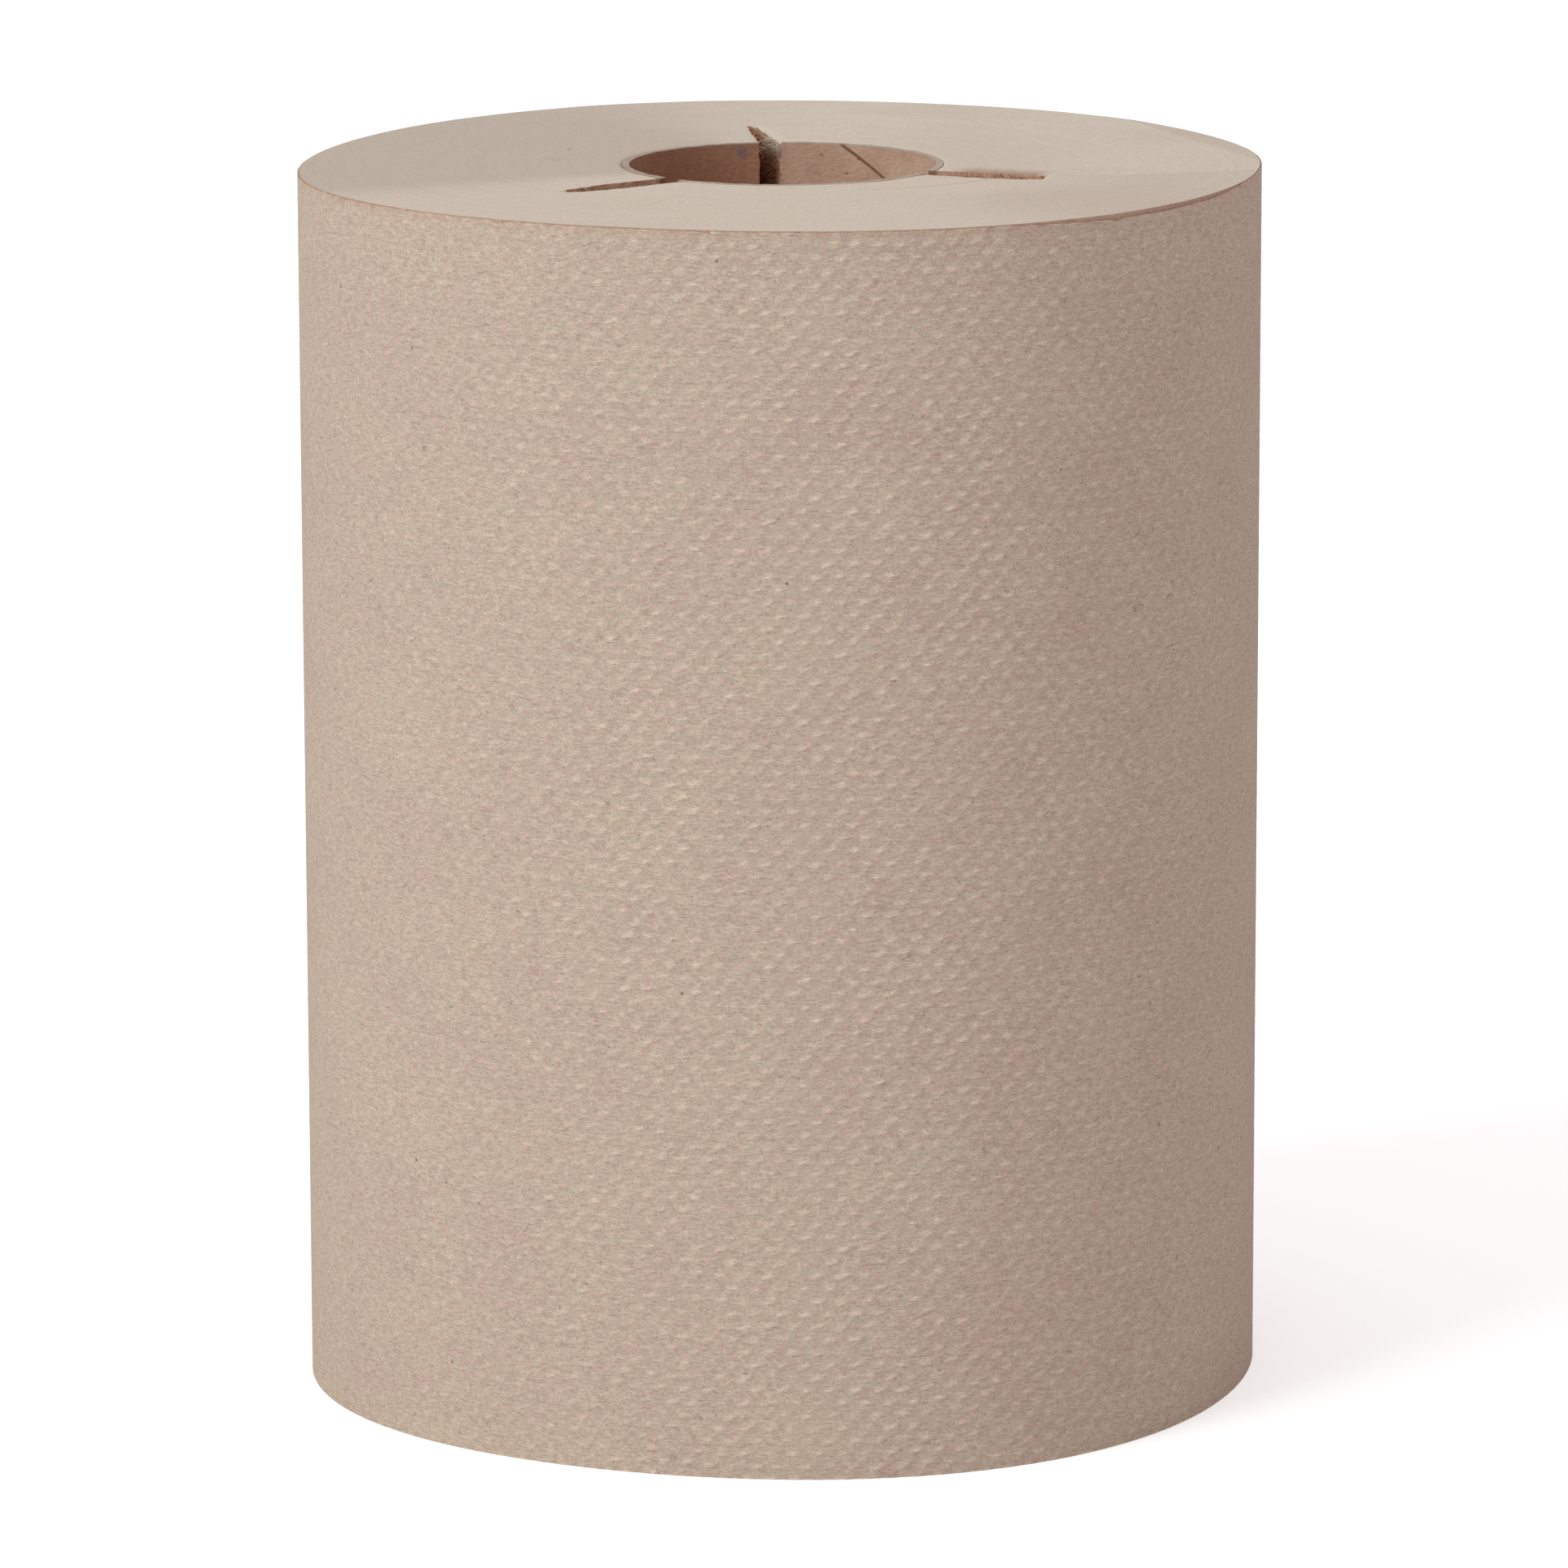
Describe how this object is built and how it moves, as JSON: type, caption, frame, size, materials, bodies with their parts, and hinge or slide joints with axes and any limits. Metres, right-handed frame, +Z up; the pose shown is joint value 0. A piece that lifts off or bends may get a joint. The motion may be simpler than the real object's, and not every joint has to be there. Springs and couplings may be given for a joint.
{
  "type": "paper towel roll",
  "caption": "Hard-wound roll of brown embossed paper towel on a spiral paperboard core, slotted at its upper end for a dispenser's lugs.",
  "frame": {"origin": "on the core's axis, in the plane of the lower end that the roll stands on", "axes": "+Z up along the core towards the slotted end; the front of the picture is -Y"},
  "size_m": [0.1592, 0.1601, 0.2032],
  "materials": {
    "towel_paper": "unbleached recycled tissue, embossed, matt",
    "core_board": "brown spiral-wound board, matt"
  },
  "bodies": {
    "root": {"core": "core_board", "wound_towel": "towel_paper"}
  },
  "joints": []
}
